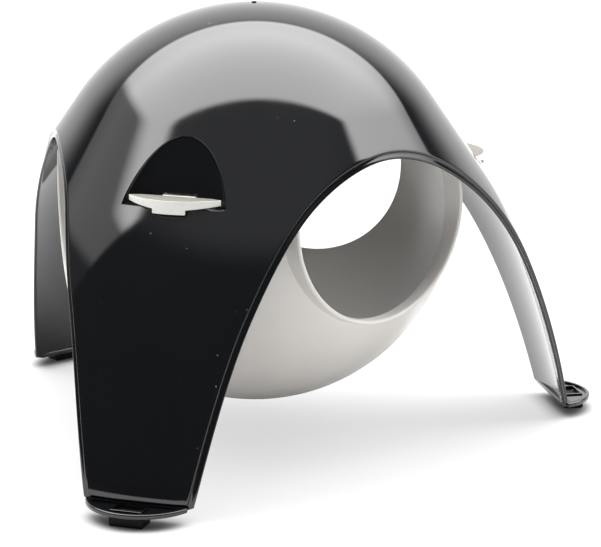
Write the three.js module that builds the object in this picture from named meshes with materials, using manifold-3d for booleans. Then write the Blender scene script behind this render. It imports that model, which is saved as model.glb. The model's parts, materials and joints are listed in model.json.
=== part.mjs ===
// Hooded pet house on three splayed legs. A glossy domed hood carries a round litter bowl with
// three round entries. Three flip-up latches in scooped recesses of the hood hold the bowl.
// Units are millimetres, +Z is up. The model stands on z = 0, centred on its bounding box in X and Y.
import * as THREE from 'three';
import { mergeVertices } from 'three/addons/utils/BufferGeometryUtils.js';
import Module from 'manifold-3d';

const wasm = await Module();
wasm.setup();

// ---- driving dimensions ------------------------------------------------------------------
// Heights named *_Z are measured from the centre of the bowl unless they say otherwise.
const BOWL_CENTRE_HEIGHT = 128; // above the floor
const BOWL_RADIUS = 110;
const BOWL_WALL = 2.5;
const EAR_TOP_Z = 26.5;

const DOME_RADIUS = 118.5;
const DOME_CENTRE_Z = -10;
const FLARE = THREE.MathUtils.degToRad(35); // slope of the hood's skirt from the vertical
const SKIRT_RADIUS = 1e5; // the skirt is all but straight
const SKIRT_END_Z = 13.5; // the knee of each leg starts here
const KNEE_RADIUS = 192;
const KNEE_END_Z = -27.5;
const LEG_CURVE_RADIUS = 537;
const HOOD_WALL = 3.2;
const LEG_END_Z = -118;

const ARCH_TOP_Z = 41.9;
const ARCH_RADIUS = 65; // radius of curvature at the crown of each arch
const ARCH_FULLNESS = 4.26e-5; // holds the arch up at its shoulders
const ARCH_SQUARENESS = 3.5e-7; // steepens the arch towards the feet
const ARCH_LIP = 3.6; // how far the inside edge stands past the outside edge

const LEG_ANGLES = { right: -30, left: -150, rear: 90 };
const ENTRY_ANGLES = [-90, 30, 150];

const ENTRY_RADIUS = 56.5;
const ENTRY_CENTRE_Z = 8;
const COLLAR_REACH = 103; // distance of the collar's lip from the bowl's axis
const COLLAR_THICKNESS = 2.4;
const COLLAR_FLARE = 7; // widening of the collar where it meets the bowl
const BOWL_CLEARANCE = 1.6; // between the collars and the inside of the hood

const LEDGE_Z = 19.1;
const RECESS_TOP_Z = 52.6;
const RECESS_CROWN_CUT = 0.4; // blunts the pointed top of the scoop
const RECESS_HALF_WIDTH = 28.2;
const RECESS_BACK_X = 113.5; // distance of the recess's back from the axis, at the ledge
const RECESS_LEAN = 0.4; // how fast the back leans inward going up
const RECESS_SQUARENESS = 0.6; // 1 gives a rounded back, less gives a flatter one with steeper sides
const RECESS_WALL = 2.2;

// Latches. *_X is the distance from the bowl's axis.
const RUNNING_GAP = 0.3;
const HINGE_X = 111.4;
const HINGE_Z = 21.6;
const PIN_RADIUS = 1;
const PIN_HALF_LENGTH = 13.2;
const PIN_HOLE_CLEARANCE = [0.05, 0.4]; // radial and at each end
const LUG_X = [109.6, 113.2];
const LUG_Z = [17.5, 25];
const LUG_CENTRE_Y = 11.4;
const LUG_HALF_WIDTH = 1.7;
const LATCH_FRONT_X = 128.6;
const LATCH_END_X = [118.1, 118.7]; // back and front of the head at its thin ends
const LATCH_HEAD_BACK_X = 116;
const LATCH_HEAD_BACK_HALF_WIDTH = 19;
const LATCH_HALF_WIDTH = 24.8;
const LATCH_BOTTOM_Z = 19.5;
const LATCH_TOP_Z = 24;
const LATCH_END_RISE = 1.6; // the head's underside rises this much from beside the lip to its ends
const LIP_HALF_WIDTH = 9.5;
const LIP_DROP = 2.5;
const LIP_THICKNESS = 1.3;
const TONGUE_HALF_WIDTH = 9; // of the neck, the barrel and the nose
const NECK_TOP_Z = 21.1;
const BARREL_RADIUS = 2.1;
const NOSE_TIP_X = 105.2;
const NOSE_Z = [21.1, 23.2];
const HOOD_SLOT_X = [106, 116]; // the slot that each latch passes through
const HOOD_SLOT_TOP_Z = 24.6;
const HOOD_SLOT_HALF_WIDTH = 9.7;
const WINDOW_X = [95, 115]; // the window in each ear that takes the latch's nose
const WINDOW_Z = [12, 23.6];
const WINDOW_HALF_WIDTH = 10;

const FLANGE_DEPTH = 18;
const FLANGE_HALF_WIDTH = 27.5;
const FLANGE_BACK = 4.6; // how far the flange runs under the leg
const FLANGE_TOP_Z = -119.2;
const FLANGE_BOTTOM_Z = -121.8;
const FLANGE_RIM = 1.4;
const FLANGE_SINK = 1;
const FOOT_SLOT = [8, 15]; // radial and sideways size
const FOOT_SLOT_OFFSET = 7.5; // from the leg's outside face
const PAD_SIZE = [11, 18.2];
const PAD_STEM_HEIGHT = 1.3;

const LEG_SEGMENTS = 3; // across half a foot
const ARCH_SEGMENTS = 11; // along half an arch
const HOOD_ROWS = 10;
const BOWL_SEGMENTS = 54;
const RING_SEGMENTS = 36;

// ---- materials ---------------------------------------------------------------------------
const plastic = (color, roughness) => new THREE.MeshStandardMaterial({ color, roughness, metalness: 0 });
const materials = {
  hood: plastic('#101114', 0.08),
  bowl: plastic('#c8c5c0', 0.35),
  latch: plastic('#f3f2ee', 0.3),
  pad: plastic('#1c1c1d', 0.8),
  pin: new THREE.MeshStandardMaterial({ color: '#a9abad', roughness: 0.35, metalness: 1 }),
};

// ---- solids ------------------------------------------------------------------------------
function solidOf(geometry) {
  const bare = new THREE.BufferGeometry();
  bare.setAttribute('position', geometry.getAttribute('position').clone());
  if (geometry.index) bare.setIndex(geometry.index.clone());
  const merged = mergeVertices(bare, 1e-4);
  const vertProperties = new Float32Array(merged.getAttribute('position').array);
  const triVerts = new Uint32Array(merged.index.array);
  return new wasm.Manifold(new wasm.Mesh({ numProp: 3, vertProperties, triVerts }));
}

function geometryOf(solid) {
  const mesh = solid.getMesh();
  const geometry = new THREE.BufferGeometry();
  geometry.setAttribute('position', new THREE.BufferAttribute(mesh.vertProperties, 3));
  geometry.setIndex(new THREE.BufferAttribute(mesh.triVerts, 1));
  return geometry;
}

function geometryFrom(points, faces) {
  const geometry = new THREE.BufferGeometry();
  const coordinates = points.flatMap((point) => [point.x, point.y, point.z]);
  geometry.setAttribute('position', new THREE.Float32BufferAttribute(coordinates, 3));
  geometry.setIndex(faces.flat());
  return geometry;
}

// A closed solid through rings of points, from the lowest ring to the highest.
// Each ring runs anticlockwise seen from above.
function loft(rings) {
  const count = rings[0].length;
  const faces = [];
  for (let ring = 0; ring + 1 < rings.length; ring += 1) {
    for (let i = 0; i < count; i += 1) {
      const next = (i + 1) % count;
      const [a, b] = [ring * count + i, ring * count + next];
      faces.push([a, b, b + count], [a, b + count, a + count]);
    }
  }
  const capOf = (ring) => THREE.ShapeUtils.triangulateShape(ring.map((p) => new THREE.Vector2(p.x, p.y)), []);
  const top = (rings.length - 1) * count;
  capOf(rings[0]).forEach(([a, b, c]) => faces.push([a, c, b]));
  capOf(rings.at(-1)).forEach(([a, b, c]) => faces.push([top + a, top + b, top + c]));
  return solidOf(geometryFrom(rings.flat(), faces));
}

// A slab over a flat outline of [x, y] points. Its bottom and top may slope.
function slab(outline, bottomAt, topAt) {
  const ringAt = (height) => outline.map(([x, y]) => new THREE.Vector3(x, y, height(x, y)));
  return loft([ringAt(bottomAt), ringAt(topAt)]);
}

function block(x0, x1, halfWidth, z0, z1, centreY = 0) {
  const y0 = centreY - halfWidth;
  const y1 = centreY + halfWidth;
  const outline = [[x0, y0], [x1, y0], [x1, y1], [x0, y1]];
  return slab(outline, () => z0, () => z1);
}

function revolve(profile, segments) {
  const geometry = new THREE.LatheGeometry(profile.map(([r, h]) => new THREE.Vector2(r, h)), segments);
  return geometry.rotateX(Math.PI / 2);
}

// A rod along Y, the direction of the latches' hinges.
function rodAlongY(radius, halfLength, x, z) {
  const geometry = new THREE.CylinderGeometry(radius, radius, 2 * halfLength, 16);
  return solidOf(geometry.translate(x, 0, z));
}

const turned = (solid, degrees) => solid.rotate([0, 0, degrees]);

// ---- the hood's surface ------------------------------------------------------------------
// The outside is a surface of revolution. Its profile is a chain of arcs, each one running on
// tangentially from the one above: the dome, the skirt, the knee and the leg.
const tiltOnArc = (arc, z) => Math.asin((z - arc.z) / arc.radius + Math.sin(arc.tilt));

function pointOnArc(arc, tilt) {
  return {
    tilt,
    r: arc.r + arc.radius * (Math.cos(tilt) - Math.cos(arc.tilt)),
    z: arc.z + arc.radius * (Math.sin(tilt) - Math.sin(arc.tilt)),
    distance: arc.distance + arc.radius * (arc.tilt - tilt),
  };
}

const pole = { tilt: Math.PI / 2, r: 0, z: DOME_CENTRE_Z + DOME_RADIUS, distance: 0 };
const profileArcs = [{ ...pole, radius: DOME_RADIUS }];
for (const [topZ, radius] of [
  [DOME_CENTRE_Z + DOME_RADIUS * Math.sin(FLARE), SKIRT_RADIUS],
  [SKIRT_END_Z, KNEE_RADIUS],
  [KNEE_END_Z, LEG_CURVE_RADIUS],
]) {
  const above = profileArcs.at(-1);
  profileArcs.push({ ...pointOnArc(above, tiltOnArc(above, topZ)), radius });
}

// Point and outward direction at a distance along the profile from the pole. An inset gives the
// same surface further in.
function profileAt(distance, inset = 0) {
  const arc = profileArcs.findLast((one) => one.distance <= distance);
  const tilt = arc.tilt - (distance - arc.distance) / arc.radius;
  const { r, z } = pointOnArc(arc, tilt);
  return { r: r - inset * Math.cos(tilt), z: z - inset * Math.sin(tilt), tilt };
}

function distanceAtHeight(z) {
  const arc = profileArcs.findLast((one) => one.z >= z);
  return pointOnArc(arc, tiltOnArc(arc, z)).distance;
}

const hoodRadiusAt = (z) => profileAt(distanceAtHeight(z)).r;

// Height of an arch's edge at a sideways distance from the arch's middle.
function archHeight(sideways) {
  const crown = sideways ** 2 / (2 * ARCH_RADIUS);
  return ARCH_TOP_Z - crown + ARCH_FULLNESS * sideways ** 3 - ARCH_SQUARENESS * sideways ** 4;
}

// The sideways distance at which an arch's edge is at a height, by halving the range.
function archHalfWidthAt(z) {
  let low = 0;
  let high = 150;
  for (let step = 0; step < 40; step += 1) {
    const middle = (low + high) / 2;
    if (archHeight(middle) > z) low = middle;
    else high = middle;
  }
  return low;
}

// The lower edge of the hood as [azimuth, height], from the middle of a leg to the next arch's crown.
function halfEdge() {
  const footHalfWidth = archHalfWidthAt(LEG_END_Z);
  const footAngle = Math.PI / 3 - Math.asin(footHalfWidth / hoodRadiusAt(LEG_END_Z));
  const edge = [];
  for (let i = 0; i < LEG_SEGMENTS; i += 1) edge.push([(footAngle * i) / LEG_SEGMENTS, LEG_END_Z]);
  for (let i = 0; i <= ARCH_SEGMENTS; i += 1) {
    const sideways = footHalfWidth * (1 - i / ARCH_SEGMENTS);
    const z = archHeight(sideways);
    edge.push([Math.PI / 3 - Math.asin(sideways / hoodRadiusAt(z)), z]);
  }
  return edge;
}

function wholeEdge() {
  const half = halfEdge();
  const mirrored = half.slice(1, -1).reverse().map(([azimuth, z]) => [-azimuth, z]);
  const edge = [];
  for (const degrees of Object.values(LEG_ANGLES).sort((a, b) => a - b)) {
    const leg = THREE.MathUtils.degToRad(degrees);
    for (const [azimuth, z] of [...mirrored, ...half]) edge.push([leg + azimuth, z]);
  }
  return edge;
}

function surfacePoint(azimuth, distance, inset) {
  const { r, z } = profileAt(distance, inset);
  return new THREE.Vector3(r * Math.cos(azimuth), r * Math.sin(azimuth), z);
}

function surfaceNormal(azimuth, distance) {
  const { tilt } = profileAt(distance);
  const flat = Math.cos(tilt);
  return new THREE.Vector3(flat * Math.cos(azimuth), flat * Math.sin(azimuth), Math.sin(tilt));
}

// The hood's shell. The inside surface reaches past the outside one, which bevels every edge.
function hoodShell() {
  const edge = wholeEdge();
  const count = edge.length;
  const ends = edge.map(([, z]) => distanceAtHeight(z));
  const outer = edge.map(([azimuth], i) => surfacePoint(azimuth, ends[i], 0));
  const points = [];
  for (const inset of [0, HOOD_WALL]) {
    points.push(surfacePoint(0, 0, inset));
    for (let row = 1; row <= HOOD_ROWS; row += 1) {
      edge.forEach(([azimuth], i) => {
        const point = surfacePoint(azimuth, (ends[i] * row) / HOOD_ROWS, inset);
        if (inset > 0 && row === HOOD_ROWS) {
          const along = outer[(i + 1) % count].clone().sub(outer[(i + count - 1) % count]).normalize();
          const outward = along.cross(surfaceNormal(azimuth, ends[i])).negate().normalize();
          point.addScaledVector(outward.z > 0 ? outward.negate() : outward, ARCH_LIP);
        }
        points.push(point);
      });
    }
  }
  const faces = [];
  const inside = 1 + HOOD_ROWS * count;
  const at = (start, row, i) => start + 1 + (row - 1) * count + (i % count);
  for (let i = 0; i < count; i += 1) {
    faces.push([0, at(0, 1, i), at(0, 1, i + 1)]);
    faces.push([inside, at(inside, 1, i + 1), at(inside, 1, i)]);
    for (let row = 1; row < HOOD_ROWS; row += 1) {
      const [a, b, c, d] = [at(0, row, i), at(0, row + 1, i), at(0, row + 1, i + 1), at(0, row, i + 1)];
      faces.push([a, b, c], [a, c, d]);
      const [e, f, g, h] = [a, b, c, d].map((index) => index + inside);
      faces.push([e, g, f], [e, h, g]);
    }
    const [a, b] = [at(0, HOOD_ROWS, i), at(0, HOOD_ROWS, i + 1)];
    faces.push([a, a + inside, b + inside], [a, b + inside, b]);
  }
  return solidOf(geometryFrom(points, faces));
}

// ---- recess and latch seat, in a leg's own frame: +X radial, +Y sideways ------------------
const recessHalfWidthAt = (z) => {
  const rise = (z - LEDGE_Z) / (RECESS_TOP_Z - LEDGE_Z);
  return RECESS_HALF_WIDTH * Math.sqrt(Math.max(1 - Math.max(rise, 0) ** (4 / 3), 0));
};

const recessBackAt = (z) => RECESS_BACK_X - RECESS_LEAN * (z - LEDGE_Z);

// The scooped recess as a solid. With a margin it is the material that stands round the scoop.
function recessSolid(margin) {
  const levels = 8;
  const across = 10;
  const rings = [];
  const bottom = LEDGE_Z - margin;
  const top = RECESS_TOP_Z - RECESS_CROWN_CUT + margin;
  for (let level = 0; level <= levels; level += 1) {
    const z = bottom + ((top - bottom) * level) / levels;
    const half = recessHalfWidthAt(Math.min(z, RECESS_TOP_Z - RECESS_CROWN_CUT)) + margin;
    const edgeX = Math.sqrt(hoodRadiusAt(z) ** 2 - half ** 2);
    const backX = Math.min(recessBackAt(z) - margin, edgeX - 0.1);
    const ring = [new THREE.Vector3(150, -half, z), new THREE.Vector3(150, half, z)];
    for (let i = 0; i <= across; i += 1) {
      const turn = (Math.PI * i) / across;
      const y = half * Math.cos(turn);
      const x = backX + (edgeX - backX) * (1 - Math.sin(turn) ** RECESS_SQUARENESS);
      ring.push(new THREE.Vector3(x, y, z));
    }
    rings.push(ring);
  }
  return loft(rings);
}

// Two lugs behind the recess carry the hinge pin.
function hingeLugs() {
  const lugs = [-1, 1].map((side) => block(...LUG_X, LUG_HALF_WIDTH, ...LUG_Z, side * LUG_CENTRE_Y));
  return lugs[0].add(lugs[1]);
}

function lensOutline(backX, halfWidth, depth, steps) {
  const outline = [];
  const radius = (halfWidth ** 2 + depth ** 2) / (2 * depth);
  for (let i = 0; i <= steps; i += 1) {
    const y = halfWidth * ((2 * i) / steps - 1);
    outline.push([backX + depth - radius + Math.sqrt(radius ** 2 - y ** 2), y]);
  }
  return outline;
}

// The foot's flange is a lens-shaped step with a raised rim, a sunk floor and a slot.
const FOOT_X = hoodRadiusAt(LEG_END_Z);
const FOOT_HALF_WIDTH = FOOT_X * Math.sin(Math.PI / 3 - Math.asin(archHalfWidthAt(LEG_END_Z) / FOOT_X));
const SLOT_X = FOOT_X + FOOT_SLOT_OFFSET;

function footFlange() {
  const backX = FOOT_X - FLANGE_BACK;
  const backHalfWidth = FOOT_HALF_WIDTH - 1.5;
  const front = lensOutline(FOOT_X - 1.2, FLANGE_HALF_WIDTH, FLANGE_DEPTH + 1.2, 14);
  const outline = [[backX, -backHalfWidth], ...front, [backX, backHalfWidth]];
  const body = slab(outline, () => FLANGE_BOTTOM_Z, () => FLANGE_TOP_Z);
  const sunkDepth = FLANGE_DEPTH - 2.4 * FLANGE_RIM;
  const sunkOutline = lensOutline(FOOT_X + FLANGE_RIM, FLANGE_HALF_WIDTH - 5, sunkDepth, 12);
  const sunk = slab(sunkOutline, () => FLANGE_TOP_Z - FLANGE_SINK, () => FLANGE_TOP_Z + 3);
  return body.subtract(sunk);
}

function footSlot() {
  const [depth, width] = FOOT_SLOT;
  const [low, high] = [FLANGE_BOTTOM_Z - 2, FLANGE_TOP_Z + 2];
  return block(SLOT_X - depth / 2, SLOT_X + depth / 2, width / 2, low, high);
}

function makeHood() {
  const core = solidOf(revolve(hoodInsideProfile(0.5, 0, 80), BOWL_SEGMENTS));
  let hood = hoodShell();
  for (const degrees of Object.values(LEG_ANGLES)) {
    const seat = recessSolid(RECESS_WALL).add(hingeLugs());
    hood = hood.add(turned(seat, degrees).intersect(core));
    hood = hood.add(turned(footFlange(), degrees));
  }
  for (const degrees of Object.values(LEG_ANGLES)) {
    const [around, atEnds] = PIN_HOLE_CLEARANCE;
    const pinHole = rodAlongY(PIN_RADIUS + around, PIN_HALF_LENGTH + atEnds, HINGE_X, HINGE_Z);
    const slot = block(...HOOD_SLOT_X, HOOD_SLOT_HALF_WIDTH, LEDGE_Z, HOOD_SLOT_TOP_Z);
    const cuts = [recessSolid(0), slot, pinHole, footSlot()];
    for (const cut of cuts) hood = hood.subtract(turned(cut, degrees));
  }
  return hood;
}

// Profile of the solid inside the hood, inset from the outside surface, between two heights.
function hoodInsideProfile(inset, lowZ, highZ) {
  const profile = [[0, lowZ]];
  const steps = 16;
  for (let i = 0; i <= steps; i += 1) {
    const { r, z } = profileAt(distanceAtHeight(lowZ + ((highZ - lowZ) * i) / steps), inset);
    profile.push([r, i === 0 ? lowZ : z]);
  }
  profile.push([0, profile.at(-1)[1]]);
  return profile;
}

// ---- bowl --------------------------------------------------------------------------------
function bowlShell() {
  const profile = [];
  const steps = 14;
  const inner = BOWL_RADIUS - BOWL_WALL;
  const topAngle = (radius) => Math.asin(EAR_TOP_Z / radius);
  for (let i = 0; i <= steps; i += 1) {
    const angle = -Math.PI / 2 + ((topAngle(BOWL_RADIUS) + Math.PI / 2) * i) / steps;
    profile.push([i === 0 ? 0 : BOWL_RADIUS * Math.cos(angle), BOWL_RADIUS * Math.sin(angle)]);
  }
  for (let i = steps; i >= 0; i -= 1) {
    const angle = -Math.PI / 2 + ((topAngle(inner) + Math.PI / 2) * i) / steps;
    profile.push([i === 0 ? 0 : inner * Math.cos(angle), inner * Math.sin(angle)]);
  }
  return solidOf(revolve(profile, BOWL_SEGMENTS));
}

// Turns a lathe about Z into one about a horizontal entry axis pointing along +X.
const alongX = (geometry) => geometry.rotateY(Math.PI / 2).translate(0, 0, ENTRY_CENTRE_Z);

function collarPlug() {
  const lip = ENTRY_RADIUS + COLLAR_THICKNESS;
  const root = Math.sqrt((BOWL_RADIUS - 1) ** 2 - (lip + COLLAR_FLARE) ** 2);
  const profile = [[0, 60], [lip + COLLAR_FLARE, 60], [lip + COLLAR_FLARE, root]];
  const steps = 5;
  for (let i = 1; i <= steps; i += 1) {
    const turn = ((Math.PI / 2) * i) / steps;
    const r = lip + COLLAR_FLARE * (1 - Math.sin(turn));
    profile.push([r, root + (COLLAR_REACH - 3 - root) * (1 - Math.cos(turn))]);
  }
  profile.push([lip, COLLAR_REACH], [0, COLLAR_REACH]);
  return solidOf(alongX(revolve(profile, RING_SEGMENTS)));
}

function makeBowl() {
  const ball = new THREE.SphereGeometry(BOWL_RADIUS - BOWL_WALL, BOWL_SEGMENTS, 28);
  const inside = solidOf(ball.rotateX(Math.PI / 2));
  const collar = collarPlug().subtract(inside);
  const bore = new THREE.CylinderGeometry(ENTRY_RADIUS, ENTRY_RADIUS, 80, RING_SEGMENTS);
  const opening = solidOf(alongX(bore.rotateX(Math.PI / 2).translate(0, 0, 90)));
  let bowl = bowlShell();
  for (const degrees of ENTRY_ANGLES) bowl = bowl.add(turned(collar, degrees));
  for (const degrees of ENTRY_ANGLES) bowl = bowl.subtract(turned(opening, degrees));
  const inset = HOOD_WALL + BOWL_CLEARANCE;
  const envelope = hoodInsideProfile(inset, -118, EAR_TOP_Z);
  bowl = bowl.intersect(solidOf(revolve(envelope, BOWL_SEGMENTS)));
  const window = block(...WINDOW_X, WINDOW_HALF_WIDTH, ...WINDOW_Z);
  for (const degrees of Object.values(LEG_ANGLES)) bowl = bowl.subtract(turned(window, degrees));
  return bowl;
}

// ---- latch, pin and foot -----------------------------------------------------------------
// The wedge that is missing under each end of a latch's head.
function underEnd(side) {
  const [back, front] = [LATCH_HEAD_BACK_X - 2, LATCH_FRONT_X + 2];
  const [start, end] = [side * LIP_HALF_WIDTH, side * (LATCH_HALF_WIDTH + 1)];
  const slope = LATCH_END_RISE / (LATCH_HALF_WIDTH - LIP_HALF_WIDTH);
  const low = Math.min(start, end);
  const high = Math.max(start, end);
  const outline = [[back, low], [front, low], [front, high], [back, high]];
  const riseAt = (x, y) => LATCH_BOTTOM_Z + slope * (Math.abs(y) - LIP_HALF_WIDTH);
  return slab(outline, () => LATCH_BOTTOM_Z - 1, riseAt);
}

function makeLatch() {
  const [endBack, endFront] = LATCH_END_X;
  const front = lensOutline(endFront, LATCH_HALF_WIDTH, LATCH_FRONT_X - endFront, 16);
  const back = [
    [endBack, LATCH_HALF_WIDTH],
    [LATCH_HEAD_BACK_X, LATCH_HEAD_BACK_HALF_WIDTH],
    [LATCH_HEAD_BACK_X, -LATCH_HEAD_BACK_HALF_WIDTH],
    [endBack, -LATCH_HALF_WIDTH],
  ];
  let head = slab([...front, ...back], () => LATCH_BOTTOM_Z, () => LATCH_TOP_Z);
  for (const side of [-1, 1]) head = head.subtract(underEnd(side));
  const lipFront = front.filter(([, y]) => Math.abs(y) <= LIP_HALF_WIDTH);
  const lipBack = lipFront.map(([x, y]) => [x - LIP_THICKNESS, y]).reverse();
  const lipTop = LATCH_BOTTOM_Z + 1;
  const lip = slab([...lipFront, ...lipBack], () => LATCH_BOTTOM_Z - LIP_DROP, () => lipTop);
  const neck = block(HINGE_X, LATCH_HEAD_BACK_X + 1, TONGUE_HALF_WIDTH, LATCH_BOTTOM_Z, NECK_TOP_Z);
  const barrel = rodAlongY(BARREL_RADIUS, TONGUE_HALF_WIDTH, HINGE_X, HINGE_Z);
  const nose = block(NOSE_TIP_X, HINGE_X, TONGUE_HALF_WIDTH, ...NOSE_Z);
  const hole = rodAlongY(PIN_RADIUS + RUNNING_GAP, LATCH_HALF_WIDTH, HINGE_X, HINGE_Z);
  return head.add(lip).add(neck).add(barrel).add(nose).subtract(hole);
}

const makePin = () => rodAlongY(PIN_RADIUS, PIN_HALF_LENGTH, HINGE_X, HINGE_Z);

// A block under the flange, with a stem that plugs into the flange's slot.
function makePad() {
  const [depth, width] = PAD_SIZE;
  const top = FLANGE_BOTTOM_Z - RUNNING_GAP;
  const base = block(SLOT_X - depth / 2, SLOT_X + depth / 2, width / 2, -BOWL_CENTRE_HEIGHT, top);
  const [stemX, stemY] = FOOT_SLOT.map((size) => size / 2 - RUNNING_GAP);
  const stem = block(SLOT_X - stemX, SLOT_X + stemX, stemY, top - 1, FLANGE_BOTTOM_Z + PAD_STEM_HEIGHT);
  return base.add(stem);
}

// ---- assembly ----------------------------------------------------------------------------
const assembly = new THREE.Group();
const group = new THREE.Group();
group.add(assembly);

function place(name, solid, material, degrees = 0) {
  const mesh = new THREE.Mesh(geometryOf(solid), material);
  mesh.name = name;
  mesh.rotation.z = THREE.MathUtils.degToRad(degrees);
  assembly.add(mesh);
}

place('hood_shell', makeHood(), materials.hood);
place('litter_bowl', makeBowl(), materials.bowl);
for (const [side, degrees] of Object.entries(LEG_ANGLES)) {
  place(`latch_${side}`, makeLatch(), materials.latch, degrees);
  place(`latch_pin_${side}`, makePin(), materials.pin, degrees);
  place(`foot_pad_${side}`, makePad(), materials.pad, degrees);
}

// Three legs at 120 degrees are not centred on the bowl's axis, so the axis stands off the middle.
const bounds = new THREE.Box3().setFromObject(assembly);
assembly.position.set(0, -(bounds.min.y + bounds.max.y) / 2, BOWL_CENTRE_HEIGHT);

export default group;
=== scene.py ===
# Looks for the hooded litter box: a glossy black hood on three legs round a warm grey bowl.
# Everything is in metres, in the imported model's frame.
import json
import math

import bmesh
import bpy
import numpy as np
from mathutils import Matrix, Vector


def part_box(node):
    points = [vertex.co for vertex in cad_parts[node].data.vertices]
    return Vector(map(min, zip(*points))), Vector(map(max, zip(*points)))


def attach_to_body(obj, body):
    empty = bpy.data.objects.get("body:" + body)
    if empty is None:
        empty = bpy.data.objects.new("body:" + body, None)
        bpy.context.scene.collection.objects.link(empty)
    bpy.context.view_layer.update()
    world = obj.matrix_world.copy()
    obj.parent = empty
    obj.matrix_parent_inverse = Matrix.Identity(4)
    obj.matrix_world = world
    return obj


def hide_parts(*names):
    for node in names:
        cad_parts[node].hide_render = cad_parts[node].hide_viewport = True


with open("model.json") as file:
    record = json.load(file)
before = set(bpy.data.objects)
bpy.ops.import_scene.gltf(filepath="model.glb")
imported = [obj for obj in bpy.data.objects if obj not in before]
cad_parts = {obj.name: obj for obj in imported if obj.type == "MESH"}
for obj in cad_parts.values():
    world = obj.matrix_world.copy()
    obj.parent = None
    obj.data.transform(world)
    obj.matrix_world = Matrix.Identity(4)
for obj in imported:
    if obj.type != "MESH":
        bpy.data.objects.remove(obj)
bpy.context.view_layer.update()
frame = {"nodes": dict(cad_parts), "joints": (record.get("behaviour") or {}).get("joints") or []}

MM = 0.001
LEGS = {"right": -30, "left": -150, "rear": 90}
ENTRIES = [-90, 30, 150]

# ---- places read from the frame -----------------------------------------------------------
JOINTS = {joint["name"]: joint for joint in frame["joints"]}
HINGES = {side: Vector(JOINTS[f"latch_{side}_flip"]["pos_m"]) for side in LEGS}
BOWL_RADIUS = 110 * MM
AXIS_Y = sum(hinge.y for hinge in HINGES.values()) / len(HINGES)
CENTRE = Vector((0, AXIS_Y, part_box("litter_bowl")[0].z + BOWL_RADIUS))
FLOOR_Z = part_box("foot_pad_rear")[0].z
HINGE_X = (HINGES["rear"] - CENTRE).y
HINGE_Z = (HINGES["rear"] - CENTRE).z

# ---- the hood's shape, heights from the bowl's centre -------------------------------------
DOME_RADIUS = 118.5 * MM
DOME_CENTRE_Z = -10 * MM
FLARE = math.radians(35)
SKIRT_RADIUS = 100.0  # all but straight
SKIRT_END_Z = 13.5 * MM
KNEE_RADIUS = 192 * MM
KNEE_END_Z = -27.5 * MM
LEG_CURVE_RADIUS = 537 * MM
HOOD_WALL = 3.2 * MM
LEG_END_Z = -118 * MM
ARCH_TOP_Z = 41.9 * MM
ARCH_RADIUS = 65 * MM
ARCH_FULLNESS = 4.26e-5 / MM**2
ARCH_SQUARENESS = 3.5e-7 / MM**3
GATE_MARK_RADIUS = 1.3 * MM
GATE_MARK_HEIGHT = 0.7 * MM

LEDGE_Z = 19.1 * MM
RECESS_TOP_Z = 52.6 * MM
RECESS_HALF_WIDTH = 28.2 * MM
RECESS_BACK_X = 113.5 * MM
RECESS_LEAN = 0.4
RECESS_SQUARENESS = 0.6  # 1 gives a rounded back, less gives a flatter one with steeper sides
RECESS_CROWN_CUT = 0.4 * MM  # how far the cut stops below the outline's pointed crown
RECESS_WALL = 2.2 * MM
RECESS_SKIN = 0.6 * MM  # how far the recess's wall stays inside the hood's face
LATCH_SLOT_X = (106 * MM, 116 * MM)
LATCH_SLOT_TOP_Z = 24.6 * MM
LATCH_SLOT_HALF_WIDTH = 9.7 * MM
LUG_X = (109.6 * MM, 113.2 * MM)
LUG_Z = (17.5 * MM, 25 * MM)
LUG_CENTRE_Y = 11.4 * MM
LUG_HALF_WIDTH = 1.7 * MM

# ---- the bowl -----------------------------------------------------------------------------
ENTRY_RADIUS = 56.5 * MM
ENTRY_CENTRE_Z = 8 * MM
COLLAR_REACH = 103 * MM
COLLAR_THICKNESS = 2.4 * MM
COLLAR_FLARE = 7 * MM
BOWL_WALL = 2.5 * MM
BOWL_INSIDE_RADIUS = BOWL_RADIUS - BOWL_WALL
EAR_TOP_Z = 26.5 * MM
BOWL_CLEARANCE = 1.6 * MM
WINDOW_X = (95 * MM, 115 * MM)
WINDOW_LOW_Z = 12 * MM
WINDOW_HIGH_Z = 23.6 * MM

# ---- the latches --------------------------------------------------------------------------
LATCH_FRONT_X = 128.6 * MM
LATCH_END_BACK_X = 118.1 * MM
LATCH_END_FRONT_X = 118.7 * MM
LATCH_HALF_WIDTH = 24.8 * MM
LATCH_BOTTOM_Z = 19.5 * MM
LATCH_TOP_Z = 24 * MM
LATCH_END_RISE = 1.6 * MM
LATCH_BACK_X = 116 * MM
LATCH_BACK_HALF_WIDTH = 19 * MM
LIP_HALF_WIDTH = 9.6 * MM
LIP_DROP = 2.5 * MM
LIP_THICKNESS = 1.3 * MM
TONGUE_HALF_WIDTH = 9 * MM
NOSE_TIP_X = 105.2 * MM
NOSE_BOTTOM_Z = 21.1 * MM
NOSE_TOP_Z = 23.2 * MM
BARREL_RADIUS = 2.1 * MM
PIN_HOLE_RADIUS = 1.05 * MM
PIN_HALF_LENGTH = 13.6 * MM

# ---- the feet -----------------------------------------------------------------------------
FLANGE_DEPTH = 18 * MM
FLANGE_HALF_WIDTH = 27.5 * MM
FLANGE_BACK = 4.6 * MM
FLANGE_TOP_Z = -119.2 * MM
FLANGE_BOTTOM_Z = -121.8 * MM
FLANGE_RIM = 1.4 * MM
FLANGE_SINK = 1.0 * MM
FOOT_SLOT = (8 * MM, 15 * MM)
FOOT_SLOT_OFFSET = 7.5 * MM
CURB = 1.0 * MM
PAD_SIZE = (11 * MM, 18.2 * MM)
GROOVE_PITCH = 2.6 * MM
GROOVE_HALF_WIDTH = 0.35 * MM
GROOVE_DEPTH = 0.5 * MM
PAD_GAP = 0.3 * MM
PAD_STEM_HEIGHT = 0.4 * MM


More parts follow.
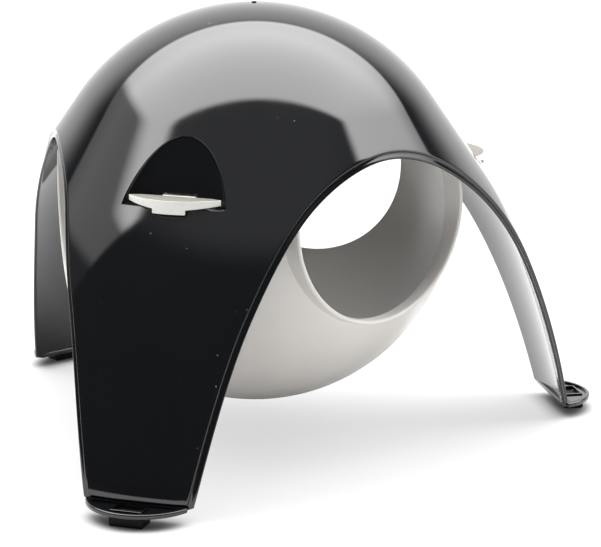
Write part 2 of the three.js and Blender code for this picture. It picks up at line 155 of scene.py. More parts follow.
# ---- mesh tools ---------------------------------------------------------------------------
def new_object(name, points, faces):
    mesh = bpy.data.meshes.new(name)
    mesh.from_pydata([tuple(p) for p in points], [], faces)
    mesh.validate()
    obj = bpy.data.objects.new(name, mesh)
    bpy.context.scene.collection.objects.link(obj)
    return face_outward(obj)


def face_outward(obj):
    work = bmesh.new()
    work.from_mesh(obj.data)
    bmesh.ops.remove_doubles(work, verts=work.verts, dist=1e-7)
    bmesh.ops.recalc_face_normals(work, faces=work.faces)
    work.to_mesh(obj.data)
    work.free()
    return obj


def ring_faces(ring_count, size, closed_caps=False):
    """Quads between consecutive rings of points. Closed caps are one face each."""
    faces = []
    for ring in range(ring_count - 1):
        for i in range(size):
            a = ring * size + i
            b = ring * size + (i + 1) % size
            faces.append((a, b, b + size, a + size))
    if closed_caps:
        last = (ring_count - 1) * size
        faces.append(tuple(reversed(range(size))))
        faces.append(tuple(last + i for i in range(size)))
    return faces


def apply_modifiers(obj):
    bpy.context.view_layer.update()
    graph = bpy.context.evaluated_depsgraph_get()
    mesh = bpy.data.meshes.new_from_object(obj.evaluated_get(graph))
    obj.modifiers.clear()
    obj.data = mesh
    return obj


def combine(target, others, operation):
    """Boolean of the target with each of the other closed objects, which are used up."""
    for other in others:
        modifier = target.modifiers.new("combine", "BOOLEAN")
        modifier.solver = "MANIFOLD"
        modifier.operation = operation
        modifier.object = other
        apply_modifiers(target)
        bpy.data.objects.remove(other)
    return target


def rounded(obj, width, segments=3, angle=30):
    modifier = obj.modifiers.new("round", "BEVEL")
    modifier.width = width
    modifier.segments = segments
    modifier.limit_method = "ANGLE"
    modifier.angle_limit = math.radians(angle)
    return apply_modifiers(obj)


def smooth(obj, angle=35):
    """Smooth shading that stays crisp across edges sharper than the angle."""
    obj.data.shade_smooth()
    obj.data.set_sharp_from_angle(angle=math.radians(angle))
    return obj


def turned(obj, degrees, axis="Z"):
    obj.data.transform(Matrix.Rotation(math.radians(degrees), 4, axis))
    return obj


def placed(obj, degrees=0):
    """Moves a mesh made round the bowl's centre into the frame, turned to its leg."""
    turned(obj, degrees).data.transform(Matrix.Translation(CENTRE))
    return obj


def prism(name, outline, bottom_at, top_at):
    """Closed slab over an outline of (x, y) points, between two heights that may slope sideways."""
    low = [(x, y, bottom_at(y)) for x, y in outline]
    high = [(x, y, top_at(y)) for x, y in outline]
    return new_object(name, low + high, ring_faces(2, len(outline), True))


def flat_prism(name, outline, z0, z1):
    return prism(name, outline, lambda y: z0, lambda y: z1)


def block(name, x0, x1, half_width, z0, z1, centre_y=0.0):
    y0, y1 = centre_y - half_width, centre_y + half_width
    return flat_prism(name, [(x0, y0), (x1, y0), (x1, y1), (x0, y1)], z0, z1)


def circle_points(r, h, segments):
    turns = [2 * math.pi * i / segments for i in range(segments)]
    return [(r * math.cos(t), r * math.sin(t), h) for t in turns]


def lathe(name, profile, segments=192):
    """Turns (r, h) points about Z. The first and last points lie on the axis."""
    rings = [circle_points(r, h, segments) for r, h in profile[1:-1]]
    points = [point for ring in rings for point in ring]
    faces = ring_faces(len(rings), segments)
    start, end = len(points), len(points) + 1
    last = (len(rings) - 1) * segments
    points += [(0, 0, profile[0][1]), (0, 0, profile[-1][1])]
    for i in range(segments):
        after = (i + 1) % segments
        faces.append((start, after, i))
        faces.append((end, last + i, last + after))
    return new_object(name, points, faces)


def lathe_ring(name, profile, segments=192):
    """Turns a closed (r, h) outline that stays off the axis about Z."""
    rings = [circle_points(r, h, segments) for r, h in profile + profile[:1]]
    return new_object(name, [p for ring in rings for p in ring], ring_faces(len(rings), segments))


def towards_entry(obj, degrees):
    """Turns a mesh made about Z to lie on an entry's level axis."""
    turned(obj, 90, "Y").data.transform(Matrix.Translation((0, 0, ENTRY_CENTRE_Z)))
    return turned(obj, degrees)


def rod(name, radius, half_length, segments=48):
    """A closed rod along a latch's hinge."""
    points = []
    for y in (-half_length, half_length):
        for x, z, _ in circle_points(radius, 0, segments):
            points.append((HINGE_X + x, y, HINGE_Z + z))
    return new_object(name, points, ring_faces(2, segments, True))


def arc(centre, radius, start, end, steps):
    """(r, h) points on an arc, angles in degrees."""
    turns = np.radians(np.linspace(start, end, steps + 1))
    return [(centre[0] + radius * math.cos(t), centre[1] + radius * math.sin(t)) for t in turns]


# ---- the hood's surface -------------------------------------------------------------------
# The profile is a chain of arcs (radius, start tilt, start r, start z, start distance), each one
# running on tangentially from the one above: the dome, the skirt, the knee and the leg.
def tilt_on_arc(arc, z):
    radius, tilt, _, start_z, _ = arc
    return math.asin((z - start_z) / radius + math.sin(tilt))


def point_on_arc(arc, tilt):
    """(tilt, r, z, distance) where the surface's normal has a tilt."""
    radius, start, r, z, distance = arc
    return (
        tilt,
        r + radius * (math.cos(tilt) - math.cos(start)),
        z + radius * (math.sin(tilt) - math.sin(start)),
        distance + radius * (start - tilt),
    )


PROFILE_ARCS = [(DOME_RADIUS, math.pi / 2, 0.0, DOME_CENTRE_Z + DOME_RADIUS, 0.0)]
for top_z, radius in (
    (DOME_CENTRE_Z + DOME_RADIUS * math.sin(FLARE), SKIRT_RADIUS),
    (SKIRT_END_Z, KNEE_RADIUS),
    (KNEE_END_Z, LEG_CURVE_RADIUS),
):
    above = PROFILE_ARCS[-1]
    PROFILE_ARCS.append((radius, *point_on_arc(above, tilt_on_arc(above, top_z))))


def profile_at(distance, inset=0.0):
    """(radius, height, tilt of the surface's normal) at a distance from the pole."""
    arc = [one for one in PROFILE_ARCS if one[4] <= distance][-1]
    tilt, r, z, _ = point_on_arc(arc, arc[1] - (distance - arc[4]) / arc[0])
    return r - inset * math.cos(tilt), z - inset * math.sin(tilt), tilt


def distance_at(z):
    arc = [one for one in PROFILE_ARCS if one[3] >= z][-1]
    return point_on_arc(arc, tilt_on_arc(arc, z))[3]


def hood_radius(z):
    return profile_at(distance_at(z))[0]


def arch_height(sideways):
    crown = sideways**2 / (2 * ARCH_RADIUS)
    return ARCH_TOP_Z - crown + ARCH_FULLNESS * sideways**3 - ARCH_SQUARENESS * sideways**4


def arch_half_width(z):
    """The sideways distance at which an arch's edge is at a height, by halving the range."""
    low, high = 0.0, 150 * MM
    for _ in range(40):
        middle = (low + high) / 2
        if arch_height(middle) > z:
            low = middle
        else:
            high = middle
    return low


def surface_point(azimuth, distance, inset=0.0):
    r, z, _ = profile_at(distance, inset)
    return Vector((r * math.cos(azimuth), r * math.sin(azimuth), z))


def surface_normal(azimuth, distance):
    tilt = profile_at(distance)[2]
    flat = math.cos(tilt)
    return Vector((flat * math.cos(azimuth), flat * math.sin(azimuth), math.sin(tilt)))


FOOT_X = hood_radius(LEG_END_Z)
FOOT_ANGLE = math.pi / 3 - math.asin(arch_half_width(LEG_END_Z) / FOOT_X)
FOOT_HALF_WIDTH = FOOT_X * math.sin(FOOT_ANGLE)
SLOT_X = FOOT_X + FOOT_SLOT_OFFSET


def hood_edge(foot_steps, arch_steps):
    """The hood's lower edge as (azimuth, height), once round all legs and arches."""
    foot_half = arch_half_width(LEG_END_Z)
    half = [(FOOT_ANGLE * i / foot_steps, LEG_END_Z) for i in range(foot_steps)]
    for i in range(arch_steps + 1):
        sideways = foot_half * (1 - i / arch_steps)
        z = arch_height(sideways)
        half.append((math.pi / 3 - math.asin(sideways / hood_radius(z)), z))
    mirrored = [(-azimuth, z) for azimuth, z in reversed(half[1:-1])]
    return [
        (math.radians(leg) + azimuth, z)
        for leg in sorted(LEGS.values())
        for azimuth, z in mirrored + half
    ]


def edge_section():
    """The edge's section as (past the edge, below the surface), in millimetres.
    A small round leads down a step to a lip that runs on level with the face."""
    turns = np.radians([15, 35, 55, 75, 90])
    outer_round = [(0.5 * math.sin(t), 0.5 * (math.cos(t) - 1)) for t in turns]
    step = [(0.56, -1.3), (0.7, -1.5), (0.9, -1.56)]
    lip = [(2.2, -1.62), (3.3, -1.68), (3.52, -1.76)]
    inner_round = [(3.68, -1.95), (3.72, -2.3), (3.66, -2.8), (3.4, -3.1), (3.1, -3.2), (2.0, -3.2)]
    return outer_round + step + lip + inner_round


def hood_shell(rows=96, foot_steps=12, arch_steps=64):
    edge = hood_edge(foot_steps, arch_steps)
    count = len(edge)
    ends = [distance_at(z) for _, z in edge]
    rim = [surface_point(azimuth, end) for (azimuth, _), end in zip(edge, ends)]
    frames = []
    for i, (azimuth, _) in enumerate(edge):
        normal = surface_normal(azimuth, ends[i])
        outward = (rim[(i + 1) % count] - rim[i - 1]).cross(normal).normalized()
        frames.append((outward if outward.z < 0 else -outward, normal))

    def ring(row, inset):
        return [surface_point(a, end * row / rows, inset) for (a, _), end in zip(edge, ends)]

    rings = [ring(row, 0) for row in range(1, rows + 1)]
    for past, below in edge_section():
        rings.append([
            point + outward * (past * MM) + normal * (below * MM)
            for point, (outward, normal) in zip(rim, frames)
        ])
    rings += [ring(row, HOOD_WALL) for row in range(rows, 0, -1)]
    points = [point for one in rings for point in one]
    faces = ring_faces(len(rings), count)
    top, under = len(points), len(points) + 1
    points += [surface_point(0, 0), surface_point(0, 0, HOOD_WALL)]
    last = (len(rings) - 1) * count
    for i in range(count):
        after = (i + 1) % count
        faces.append((top, after, i))
        faces.append((under, last + i, last + after))
    return new_object("hood", points, faces)


def gate_mark():
    """The small moulding nub at the top of the dome."""
    pole = DOME_CENTRE_Z + DOME_RADIUS
    round_over = GATE_MARK_RADIUS / 3
    corner = (GATE_MARK_RADIUS - round_over, pole + GATE_MARK_HEIGHT - round_over)
    profile = [(0, pole - MM), (GATE_MARK_RADIUS, pole - MM)]
    profile += arc(corner, round_over, 0, 90, 6)
    profile += [(0, pole + GATE_MARK_HEIGHT)]
    return lathe("gate_mark", profile, 48)


# ---- recess and foot, in a leg's own frame: +X away from the axis, +Y sideways ---------------
def recess_half_width(z):
    rise = min(max((z - LEDGE_Z) / (RECESS_TOP_Z - LEDGE_Z), 0), 1)
    return RECESS_HALF_WIDTH * math.sqrt(1 - rise ** (4 / 3))


def recess_solid(name, margin, levels=48, across=48):
    """The scoop itself, or with a margin the wall that stands round it inside the hood."""
    top = RECESS_TOP_Z - RECESS_CROWN_CUT
    rings = []
    for z in np.linspace(LEDGE_Z - margin, top + margin, levels + 1):
        half = recess_half_width(min(z, top)) + margin
        surface = hood_radius(z)
        edge_x = math.sqrt(surface**2 - half**2)
        back_x = RECESS_BACK_X - RECESS_LEAN * (z - LEDGE_Z) - margin
        back_x = min(back_x, edge_x - 0.1 * MM)
        ring = []
        for turn in np.linspace(0, math.pi, across + 1):
            x = back_x + (edge_x - back_x) * (1 - max(math.sin(turn), 0) ** RECESS_SQUARENESS)
            y = half * math.cos(turn)
            if margin:
                x = min(x, math.sqrt((surface - RECESS_SKIN) ** 2 - y**2) - 0.2 * MM)
            ring.append((x, y, z))
        if margin:
            for y in np.linspace(-half, half, across + 1)[1:-1]:
                ring.append((math.sqrt((surface - RECESS_SKIN) ** 2 - y**2), y, z))
        else:
            ring += [(150 * MM, -half, z), (150 * MM, half, z)]
        rings.append(ring)
    points = [point for ring in rings for point in ring]
    return new_object(name, points, ring_faces(len(rings), len(rings[0]), True))


def lens_outline(back_x, half_width, depth, steps=48):
    radius = (half_width**2 + depth**2) / (2 * depth)
    ys = np.linspace(-half_width, half_width, steps + 1)
    return [(back_x + depth - radius + math.sqrt(radius**2 - y**2), float(y)) for y in ys]


def foot_flange():
    """A lens-shaped step with a raised rim, a sunk floor and a curb round its slot."""
    front = lens_outline(FOOT_X - 1.2 * MM, FLANGE_HALF_WIDTH, FLANGE_DEPTH + 1.2 * MM)
    back_x = FOOT_X - FLANGE_BACK
    back_y = FOOT_HALF_WIDTH - 1.5 * MM
    outline = [(back_x, -back_y)] + front + [(back_x, back_y)]
    flange = rounded(flat_prism("flange", outline, FLANGE_BOTTOM_Z, FLANGE_TOP_Z), 0.8 * MM, 4)
    depth = FLANGE_DEPTH - 2.4 * FLANGE_RIM
    hollow = lens_outline(FOOT_X + FLANGE_RIM, FLANGE_HALF_WIDTH - 4.5 * MM, depth)
    sunk = flat_prism("sunk", hollow, FLANGE_TOP_Z - FLANGE_SINK, FLANGE_TOP_Z + 3 * MM)
    combine(flange, [sunk], "DIFFERENCE")
    reach = FOOT_SLOT[0] / 2 + CURB
    width = FOOT_SLOT[1] / 2 + CURB
    top = FLANGE_TOP_Z - 0.1 * MM
    curb = block("curb", SLOT_X - reach, SLOT_X + reach, width, FLANGE_BOTTOM_Z + 0.6 * MM, top)
    return combine(flange, [rounded(curb, 0.35 * MM, 3)], "UNION")


def foot_slot():
    depth, width = FOOT_SLOT
    low, high = FLANGE_BOTTOM_Z - 2 * MM, FLANGE_TOP_Z + 2 * MM
    return block("slot", SLOT_X - depth / 2, SLOT_X + depth / 2, width / 2, low, high)


def hinge_lug(side):
    return block("lug", *LUG_X, LUG_HALF_WIDTH, *LUG_Z, side * LUG_CENTRE_Y)


def make_hood():
    hood = combine(hood_shell(), [gate_mark()], "UNION")
    for degrees in LEGS.values():
        added = [recess_solid("seat", RECESS_WALL), hinge_lug(-1), hinge_lug(1), foot_flange()]
        combine(hood, [turned(solid, degrees) for solid in added], "UNION")
    for degrees in LEGS.values():
        slot = block("latch_slot", *LATCH_SLOT_X, LATCH_SLOT_HALF_WIDTH, LEDGE_Z, LATCH_SLOT_TOP_Z)
        hole = rod("pin_hole", PIN_HOLE_RADIUS, PIN_HALF_LENGTH)
        removed = [recess_solid("scoop", 0), slot, hole, foot_slot()]
        combine(hood, [turned(solid, degrees) for solid in removed], "DIFFERENCE")
    return smooth(placed(hood))


def make_pad(side):
    """A rubber foot: a chamfered block with grooves across its sole and a plug in the slot."""
    depth, width = PAD_SIZE
    sole = FLOOR_Z - CENTRE.z
    top = FLANGE_BOTTOM_Z - PAD_GAP
    pad = block("pad", SLOT_X - depth / 2, SLOT_X + depth / 2, width / 2, sole, top)
    rounded(pad, 1.1 * MM, 5)
    grooves = []
    for step in (-1, 0, 1):
        middle = SLOT_X + step * GROOVE_PITCH
        back, front = middle - GROOVE_HALF_WIDTH, middle + GROOVE_HALF_WIDTH
        grooves.append(block("groove", back, front, width, sole - MM, sole + GROOVE_DEPTH))
    combine(pad, grooves, "DIFFERENCE")
    plug_depth, plug_width = (size - 2 * PAD_GAP for size in FOOT_SLOT)
    back, front = SLOT_X - plug_depth / 2, SLOT_X + plug_depth / 2
    plug = block("plug", back, front, plug_width / 2, top - 2 * MM, FLANGE_BOTTOM_Z + PAD_STEM_HEIGHT)
    combine(pad, [rounded(plug, 0.4 * MM, 3)], "UNION")
    pad.name = f"rubber_foot_{side}"
    return smooth(placed(pad, LEGS[side]))


# ---- latches ------------------------------------------------------------------------------
def under_end(end):
    """The wedge that is missing under one end of a latch's head."""
    slope = LATCH_END_RISE / (LATCH_HALF_WIDTH - LIP_HALF_WIDTH)
    ys = sorted((end * LIP_HALF_WIDTH, end * (LATCH_HALF_WIDTH + MM)))
    back, front = LATCH_BACK_X - 2 * MM, LATCH_FRONT_X + 2 * MM
    outline = [(back, ys[0]), (front, ys[0]), (front, ys[1]), (back, ys[1])]

    def rise_at(y):
        return LATCH_BOTTOM_Z + slope * (abs(y) - LIP_HALF_WIDTH)

    return prism("under_end", outline, lambda y: LATCH_BOTTOM_Z - MM, rise_at)


def make_latch(side):
    """A lever with a lens-shaped head, a lip over the ledge, a hinge barrel and a nose."""
    front = lens_outline(LATCH_END_FRONT_X, LATCH_HALF_WIDTH, LATCH_FRONT_X - LATCH_END_FRONT_X, 56)
    back = [
        (LATCH_END_BACK_X, LATCH_HALF_WIDTH),
        (LATCH_BACK_X, LATCH_BACK_HALF_WIDTH),
        (LATCH_BACK_X, -LATCH_BACK_HALF_WIDTH),
        (LATCH_END_BACK_X, -LATCH_HALF_WIDTH),
    ]
    latch = flat_prism("head", front + back, LATCH_BOTTOM_Z, LATCH_TOP_Z)
    rounded(combine(latch, [under_end(-1), under_end(1)], "DIFFERENCE"), 0.25 * MM, 3, 50)
    lip_front = [(x, y) for x, y in front if abs(y) <= LIP_HALF_WIDTH]
    lip_back = [(x - LIP_THICKNESS, y) for x, y in reversed(lip_front)]
    lip_top = LATCH_BOTTOM_Z + 1.2 * MM
    lip = flat_prism("lip", lip_front + lip_back, LATCH_BOTTOM_Z - LIP_DROP, lip_top)
    neck_top = HINGE_Z - 0.5 * MM
    neck = block("neck", HINGE_X, LATCH_BACK_X + MM, TONGUE_HALF_WIDTH, LATCH_BOTTOM_Z, neck_top)
    barrel = rod("barrel", BARREL_RADIUS, TONGUE_HALF_WIDTH)
    nose = block("nose", NOSE_TIP_X, HINGE_X, TONGUE_HALF_WIDTH, NOSE_BOTTOM_Z, NOSE_TOP_Z)
    rounded(lip, 0.35 * MM, 3, 50)
    rounded(nose, 0.4 * MM, 2)
    combine(latch, [lip, neck, barrel, nose], "UNION")
    combine(latch, [rod("bore", PIN_HOLE_RADIUS + 0.25 * MM, 20 * MM)], "DIFFERENCE")
    latch.name = f"latch_lever_{side}"
    return smooth(placed(latch, LEGS[side]))


# ---- bowl ---------------------------------------------------------------------------------
def bowl_shell():
    rim_round = BOWL_WALL / 3
    rim_z = EAR_TOP_Z - rim_round
    top = math.degrees(math.asin(rim_z / BOWL_RADIUS))
    inner_top = math.degrees(math.asin(rim_z / BOWL_INSIDE_RADIUS))
    outside = arc((0, 0), BOWL_RADIUS, -90, top, 110)
    inside = arc((0, 0), BOWL_INSIDE_RADIUS, inner_top, -90, 110)
    middle = (outside[-1][0] + inside[0][0]) / 2
    rim = [(middle + side * rim_round, EAR_TOP_Z - rim_round / 4) for side in (1, -1)]
    return lathe("litter_tray", outside + rim + inside, 288)


def collar():
    """The turned-out collar of an entry: a rounded lip that flares back onto the bowl."""
    lip_r = ENTRY_RADIUS + COLLAR_THICKNESS
    foot_r = lip_r + COLLAR_FLARE
    root = math.sqrt((BOWL_RADIUS - 0.6 * MM) ** 2 - foot_r**2)
    buried = math.sqrt((BOWL_RADIUS - BOWL_WALL / 2) ** 2 - foot_r**2)
    nose = COLLAR_THICKNESS / 2
    reach = COLLAR_REACH - 3 * MM - root
    profile = [(ENTRY_RADIUS, 82 * MM)]
    profile += arc((ENTRY_RADIUS + nose, COLLAR_REACH - nose), nose, 180, 0, 10)
    for turn in np.linspace(math.pi / 2, 0, 17):
        r = lip_r + COLLAR_FLARE * (1 - math.sin(turn))
        profile.append((r, root + reach * (1 - math.cos(turn))))
    profile.append((foot_r, buried))
    inside = lathe("inside", arc((0, 0), BOWL_INSIDE_RADIUS, -90, 90, 96))
    return inside, lathe_ring("collar", profile)


def entry_bore():
    r = ENTRY_RADIUS + MM
    return lathe("bore", [(0, 60 * MM), (r, 60 * MM), (r, 130 * MM), (0, 130 * MM)])


def hood_space(low, high, steps=60):
    """The room inside the hood as a closed solid. The bowl's ears and collars are cut to it."""
    inset = HOOD_WALL + BOWL_CLEARANCE
    profile = []
    for z in np.linspace(low, high, steps + 1):
        r, h, _ = profile_at(distance_at(z), inset)
        profile.append((r, h))
    return lathe("room", [(0, profile[0][1])] + profile + [(0, profile[-1][1])])


def make_bowl():
    bowl = bowl_shell()
    combine(bowl, [towards_entry(entry_bore(), degrees) for degrees in ENTRIES], "DIFFERENCE")
    for degrees in ENTRIES:
        inside, ring = collar()
        towards_entry(ring, degrees)
        combine(ring, [inside], "DIFFERENCE")
        combine(bowl, [ring], "UNION")
    combine(bowl, [hood_space(LEG_END_Z, EAR_TOP_Z + 5 * MM)], "INTERSECT")
    for degrees in LEGS.values():
        half_width = TONGUE_HALF_WIDTH + MM
        window = block("window", *WINDOW_X, half_width, WINDOW_LOW_Z, WINDOW_HIGH_Z)
        combine(bowl, [turned(window, degrees)], "DIFFERENCE")
    return smooth(placed(bowl))


# ---- shader tools -------------------------------------------------------------------------
class Nodes:
    """Short calls for building one node tree."""

    def __init__(self, tree):
        self.tree = tree

    def add(self, kind, settings=None, **links):
        """A node with its properties set, and its inputs linked to sockets or set to values."""
        made = self.tree.nodes.new(kind)
        for key, value in (settings or {}).items():
            setattr(made, key, value)
        for key, value in links.items():
            self.feed(made.inputs[key.replace("_", " ")], value)
        return made

    def feed(self, socket, value):
        if isinstance(value, bpy.types.NodeSocket):
            self.tree.links.new(value, socket)
        else:
            socket.default_value = value

    def math(self, operation, *values):
        made = self.tree.nodes.new("ShaderNodeMath")
        made.operation = operation
        for socket, value in zip(made.inputs, values):
            self.feed(socket, value)
        return made.outputs[0]

    def dot(self, vector, direction):
        made = self.add("ShaderNodeVectorMath", {"operation": "DOT_PRODUCT"})
        self.feed(made.inputs[0], vector)
        made.inputs[1].default_value = direction
        return made.outputs["Value"]

    def fade(self, value, start, end, low=0.0, high=1.0):
        """Smooth step of the value from low at start to high at end."""
        made = self.add("ShaderNodeMapRange", {"interpolation_type": "SMOOTHSTEP"})
        for socket, number in zip(made.inputs[:5], (value, start, end, low, high)):
            self.feed(socket, number)
        return made.outputs["Result"]

    def place(self):
        return self.add("ShaderNodeTexCoord").outputs["Object"]

    def noise(self, scale, detail=3.0, roughness=0.5):
        made = self.add("ShaderNodeTexNoise", Vector=self.place(), Scale=scale)
        made.inputs["Detail"].default_value = detail
        made.inputs["Roughness"].default_value = roughness
        return made.outputs[0]

    def blend(self, amount, first, second):
        made = self.add("ShaderNodeMix", {"data_type": "RGBA"})
        for index, value in ((0, amount), (6, first), (7, second)):
            self.feed(made.inputs[index], value)
        return made.outputs[2]

    def bumps(self, *layers):
        """Normal from (height, distance) layers laid over each other."""
        normal = None
        for height, distance in layers:
            made = self.add("ShaderNodeBump", Height=height, Distance=distance)
            if normal:
                self.feed(made.inputs["Normal"], normal)
            normal = made.outputs[0]
        return normal


def new_material(name):
    material = bpy.data.materials.new(name)
    material.use_nodes = True
    shader = material.node_tree.nodes["Principled BSDF"]
    return material, Nodes(material.node_tree), shader


def finish_with(obj, material):
    obj.data.materials.clear()
    obj.data.materials.append(material)
    return obj


# ---- materials ----------------------------------------------------------------------------
def hood_material():
    """Polished black plastic with a faint moulding waviness, smudges and a little dust."""
    material, nodes, shader = new_material("hood_gloss_black")
    clouds = nodes.noise(14, 4)
    specks = nodes.fade(nodes.noise(520, 0), 0.84, 0.88)
    patches = nodes.fade(nodes.noise(22, 2), 0.55, 0.66)
    dust = nodes.math("MULTIPLY", specks, patches)
    black = nodes.blend(clouds, (0.0028, 0.0031, 0.0038, 1), (0.0042, 0.0046, 0.0054, 1))
    nodes.feed(shader.inputs["Base Color"], nodes.blend(dust, black, (0.1, 0.1, 0.095, 1)))
    smudges = nodes.fade(nodes.noise(30, 5, 0.6), 0.42, 0.7, 0.055, 0.095)
    roughness = nodes.math("MAXIMUM", smudges, nodes.math("MULTIPLY", dust, 0.5))
    nodes.feed(shader.inputs["Roughness"], roughness)
    shader.inputs["IOR"].default_value = 1.54
    waves = nodes.noise(18, 1)
    nodes.feed(shader.inputs["Normal"], nodes.bumps((waves, 0.00008), (dust, 0.00005)))
    return material


def bowl_material():
    """Satin warm grey plastic: fine spark-eroded grain and slightly uneven tone."""
    material, nodes, shader = new_material("bowl_satin_grey")
    tone = nodes.noise(16, 3)
    nodes.feed(
        shader.inputs["Base Color"],
        nodes.blend(tone, (0.52, 0.5, 0.475, 1), (0.58, 0.56, 0.535, 1)),
    )
    grain = nodes.noise(2600, 2)
    nodes.feed(shader.inputs["Roughness"], nodes.fade(nodes.noise(40, 4), 0.3, 0.7, 0.3, 0.4))
    shader.inputs["IOR"].default_value = 1.49
    nodes.feed(shader.inputs["Normal"], nodes.bumps((nodes.noise(15, 1), 0.0002), (grain, 0.00001)))
    return material


def latch_material():
    """Off-white plastic with faint handling marks, and a matt top face painted a darker olive grey as
    painted shade.
    """
    material, nodes, shader = new_material("latch_off_white")
    tone = nodes.noise(60, 3)
    white = nodes.blend(tone, (0.56, 0.55, 0.52, 1), (0.63, 0.62, 0.59, 1))
    # Painted shade: the top face of the latch is painted a darker olive grey than the white front,
    # and made matt.
    facing = nodes.dot(nodes.add("ShaderNodeTexCoord").outputs["Normal"], (0, 0, 1))
    height = nodes.dot(nodes.place(), (0, 0, 1))
    top = CENTRE.z + LATCH_TOP_Z
    near_top = nodes.fade(height, top - MM, top - MM / 2)
    matt_painted_shade_top = nodes.math("MULTIPLY", nodes.fade(facing, 0.8, 0.95), near_top)
    painted_top_shade_colour = nodes.blend(nodes.noise(400, 4), (0.12, 0.115, 0.098, 1), (0.14, 0.135, 0.115, 1))
    nodes.feed(shader.inputs["Base Color"], nodes.blend(matt_painted_shade_top, white, painted_top_shade_colour))
    marks = nodes.fade(nodes.noise(150, 4), 0.3, 0.7, 0.24, 0.38)
    roughness = nodes.math("MAXIMUM", marks, nodes.math("MULTIPLY", matt_painted_shade_top, 0.7))
    nodes.feed(shader.inputs["Roughness"], roughness)
    shader.inputs["IOR"].default_value = 1.49
    nodes.feed(shader.inputs["Normal"], nodes.bumps((nodes.noise(1800, 2), 0.000012)))
    return material


def rubber_material():
    """Matt black rubber, paler where it is dusty."""
    material, nodes, shader = new_material("foot_rubber_black")
    dust = nodes.fade(nodes.noise(220, 5, 0.7), 0.5, 0.8)
    black = nodes.blend(dust, (0.004, 0.004, 0.004, 1), (0.014, 0.014, 0.013, 1))
    nodes.feed(shader.inputs["Base Color"], black)
    nodes.feed(shader.inputs["Roughness"], nodes.fade(dust, 0, 1, 0.6, 0.85))
    shader.inputs["Specular IOR Level"].default_value = 0.15
    nodes.feed(shader.inputs["Normal"], nodes.bumps((nodes.noise(1500, 3), 0.00003)))
    return material


def steel_material():
    """Drawn steel wire with a fine uneven grain."""
    material, nodes, shader = new_material("pin_drawn_steel")
    grain = nodes.noise(900, 3)
    steel = nodes.blend(grain, (0.5, 0.5, 0.5, 1), (0.66, 0.65, 0.63, 1))
    nodes.feed(shader.inputs["Base Color"], steel)
    nodes.feed(shader.inputs["Roughness"], nodes.fade(grain, 0.3, 0.7, 0.22, 0.42))
    shader.inputs["Metallic"].default_value = 1
    return material


def floor_material():
    """White paper. What the camera sees is lifted by a painted glow, so that shadows stay pale, and
    the glow is dimmed near contacts as a painted contact shadow.
    """
    material, nodes, shader = new_material("studio_floor")
    paper = nodes.noise(3, 2)
    seen = nodes.add("ShaderNodeLightPath").outputs["Is Camera Ray"]
    bounced = nodes.blend(paper, (0.6, 0.6, 0.6, 1), (0.61, 0.61, 0.61, 1))
    nodes.feed(shader.inputs["Base Color"], nodes.blend(seen, bounced, (0.2, 0.2, 0.2, 1)))
    # Painted light: the camera sees a darker paper plus a glow, and the glow is dimmed by occlusion
    # near the feet as a painted contact shadow.
    contact = nodes.add("ShaderNodeAmbientOcclusion", {"samples": 16}, Distance=0.016)
    painted_glow_and_contact_shadow = nodes.fade(contact.outputs["AO"], 0.2, 0.95, 0.03, 0.64)
    shader.inputs["Emission Color"].default_value = (1, 1, 1, 1)
    nodes.feed(shader.inputs["Emission Strength"], nodes.math("MULTIPLY", seen, painted_glow_and_contact_shadow))
    shader.inputs["Roughness"].default_value = 0.9
    shader.inputs["Specular IOR Level"].default_value = 0
    return material


# ---- the studio ---------------------------------------------------------------------------
def level_direction(azimuth):
    turn = math.radians(azimuth)
    return (math.cos(turn), math.sin(turn), 0)


SOFTBOX_ACROSS = 52  # azimuth away from the camera, in degrees
SOFTBOX_ALONG = -38  # azimuth of the softbox's length
SOFTBOX_RADIANCE = 7.6
FLOOR_REACH = 4.0
CAMERA_OFFSET = Vector((-0.8421, -1.0003, 0.2691))  # from the bowl's centre
CAMERA_HEADING = math.radians(-41.19)  # from +Y
CAMERA_PITCH = math.radians(13.39)  # downwards
CAMERA_LENS = 145.25
CAMERA_SENSOR = 36


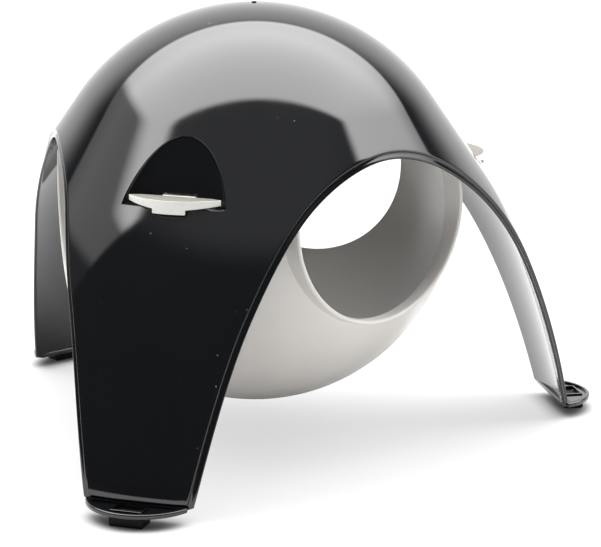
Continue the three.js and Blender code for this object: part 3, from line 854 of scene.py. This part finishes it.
def light_studio():
    """A long softbox overhead, a lit wall behind the object and a dim room on the near side."""
    world = bpy.data.worlds.new("studio")
    bpy.context.scene.world = world
    world.use_nodes = True
    nodes = Nodes(world.node_tree)
    direction = nodes.add("ShaderNodeTexCoord").outputs["Generated"]
    up = nodes.dot(direction, (0, 0, 1))
    height = nodes.math("MAXIMUM", up, 0.02)
    across = nodes.math("DIVIDE", nodes.dot(direction, level_direction(SOFTBOX_ACROSS)), height)
    along = nodes.math("DIVIDE", nodes.dot(direction, level_direction(SOFTBOX_ALONG)), height)

    softbox = nodes.fade(across, -0.3, -0.22)
    far_edge = nodes.fade(across, 1.02, 1.12, 1, 0)
    far_dimming = nodes.fade(across, 0.5, 1.1, 1, 0.62)
    right_end = nodes.fade(along, 0.7, 2.3, 1, 0.35)
    left_end = nodes.fade(along, -2.0, -1.7, 0.02, 0.17)
    left_step = nodes.fade(along, -1.25, -1.0, 0, 1)
    for factor in (far_edge, far_dimming, right_end, SOFTBOX_RADIANCE):
        softbox = nodes.math("MULTIPLY", softbox, factor)
    ends = nodes.math("MAXIMUM", left_end, left_step)
    softbox = nodes.math("MULTIPLY", softbox, ends)

    wall_facing = nodes.fade(nodes.dot(direction, level_direction(SOFTBOX_ACROSS)), 0.5, 0.8)
    wall = nodes.math("MULTIPLY", wall_facing, nodes.fade(up, 0.62, 0.8, 1.35, 0))
    ceiling = nodes.fade(up, 0.66, 0.82, 0.08, 0.45)
    room = nodes.math("ADD", ceiling, wall)
    light = nodes.math("ADD", softbox, room)

    seen = nodes.add("ShaderNodeLightPath").outputs["Is Camera Ray"]
    background = world.node_tree.nodes["Background"]
    unseen = nodes.math("MULTIPLY", light, nodes.math("SUBTRACT", 1.0, seen))
    nodes.feed(background.inputs["Strength"], nodes.math("ADD", seen, unseen))
    background.inputs["Color"].default_value = (1, 1, 1, 1)


def make_floor():
    signs = ((-1, -1), (1, -1), (1, 1), (-1, 1))
    corners = [(x * FLOOR_REACH, y * FLOOR_REACH, FLOOR_Z) for x, y in signs]
    mesh = bpy.data.meshes.new("floor")
    mesh.from_pydata(corners, [], [(0, 1, 2, 3)])
    floor = bpy.data.objects.new("floor", mesh)
    bpy.context.scene.collection.objects.link(floor)
    finish_with(floor, floor_material())


def aim_camera():
    """The camera stands low on the entry side and looks slightly down, with a long lens."""
    camera = bpy.data.objects.new("camera", bpy.data.cameras.new("camera"))
    bpy.context.scene.collection.objects.link(camera)
    bpy.context.scene.camera = camera
    level = math.cos(CAMERA_PITCH)
    forward = Vector((
        -math.sin(CAMERA_HEADING) * level,
        math.cos(CAMERA_HEADING) * level,
        -math.sin(CAMERA_PITCH),
    ))
    camera.location = CENTRE + CAMERA_OFFSET
    camera.rotation_euler = forward.to_track_quat("-Z", "Y").to_euler()
    camera.data.lens = CAMERA_LENS
    camera.data.sensor_width = CAMERA_SENSOR


# ---- assembly -----------------------------------------------------------------------------
def attach(piece, body, node, material):
    finish_with(piece, material)
    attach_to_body(piece, body)
    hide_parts(node)


attach(make_hood(), "hood", "hood_shell", hood_material())
attach(make_bowl(), "bowl", "litter_bowl", bowl_material())
latch_finish = latch_material()
rubber_finish = rubber_material()
steel_finish = steel_material()
for side in LEGS:
    attach(make_latch(side), f"latch_{side}", f"latch_{side}", latch_finish)
    attach(make_pad(side), "hood", f"foot_pad_{side}", rubber_finish)
    finish_with(frame["nodes"][f"latch_pin_{side}"], steel_finish)

light_studio()
make_floor()
aim_camera()
bpy.context.scene.view_settings.view_transform = "Standard"
